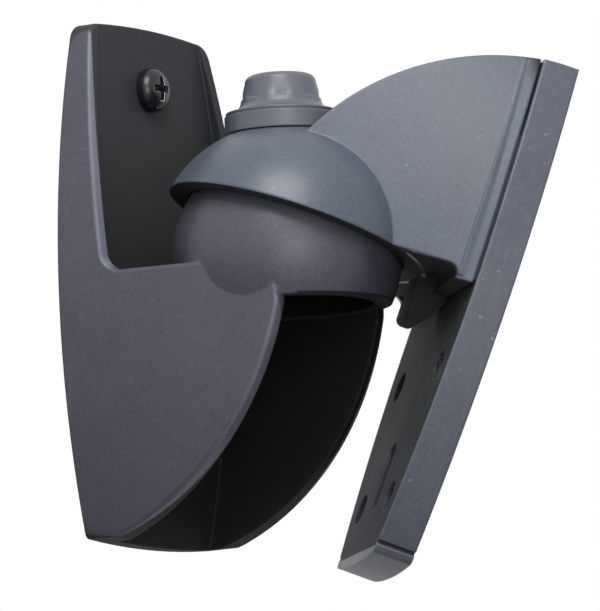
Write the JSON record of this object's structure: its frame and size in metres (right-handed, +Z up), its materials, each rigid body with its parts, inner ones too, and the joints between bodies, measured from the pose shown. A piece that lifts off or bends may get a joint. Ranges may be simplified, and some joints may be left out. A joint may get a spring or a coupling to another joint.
{
  "type": "speaker wall bracket",
  "caption": "Swivelling wall bracket for a small speaker: a wall casting that ends in a hollow ball, and a domed arm with a drilled speaker plate, clamped by a knob.",
  "frame": {"origin": "middle of the back plate's rear face, on the wall plane", "axes": "+X away from the wall, +Z up the wall"},
  "size_m": [0.1117, 0.091, 0.1252],
  "materials": {
    "wall_paint": "satin charcoal paint with a fine grain on a die casting",
    "arm_paint": "satin charcoal paint with a fine grain on a die casting",
    "plate_paint": "satin charcoal paint with a fine grain on a die casting",
    "knob_plastic": "satin charcoal moulding",
    "screw_steel": "black-finished steel",
    "clamp_steel": "zinc-plated steel"
  },
  "bodies": {
    "wall": {"wall_bracket": "wall_paint", "upper_wall_screw": "screw_steel", "lower_wall_screw": "screw_steel", "clamp_bolt": "clamp_steel", "ball_washer": "clamp_steel", "spring_washer": "clamp_steel"},
    "slider": {"slide_washer": "knob_plastic"},
    "arm": {"swivel_arm": "arm_paint", "speaker_plate": "plate_paint", "upper_plate_screw": "screw_steel", "lower_plate_screw": "screw_steel"},
    "knob": {"clamp_knob": "knob_plastic", "knob_nut": "clamp_steel"}
  },
  "joints": [
    {"name": "swivel", "type": "hinge", "parent": "wall", "child": "slider", "pos_m": [0.0394, 0, 0.0028], "axis": [0, 0, 1], "range_deg": [-95, 3]},
    {"name": "tilt", "type": "hinge", "parent": "slider", "child": "arm", "pos_m": [0.0394, 0, 0.0028], "axis": [-0.7193, 0.6947, 0], "range_deg": [-26.9, 3.1]},
    {"name": "knob_turn", "type": "hinge", "parent": "wall", "child": "knob", "pos_m": [0.0394, 0, 0.0028], "axis": [0, 0, 1], "range_deg": [0, 360]}
  ]
}
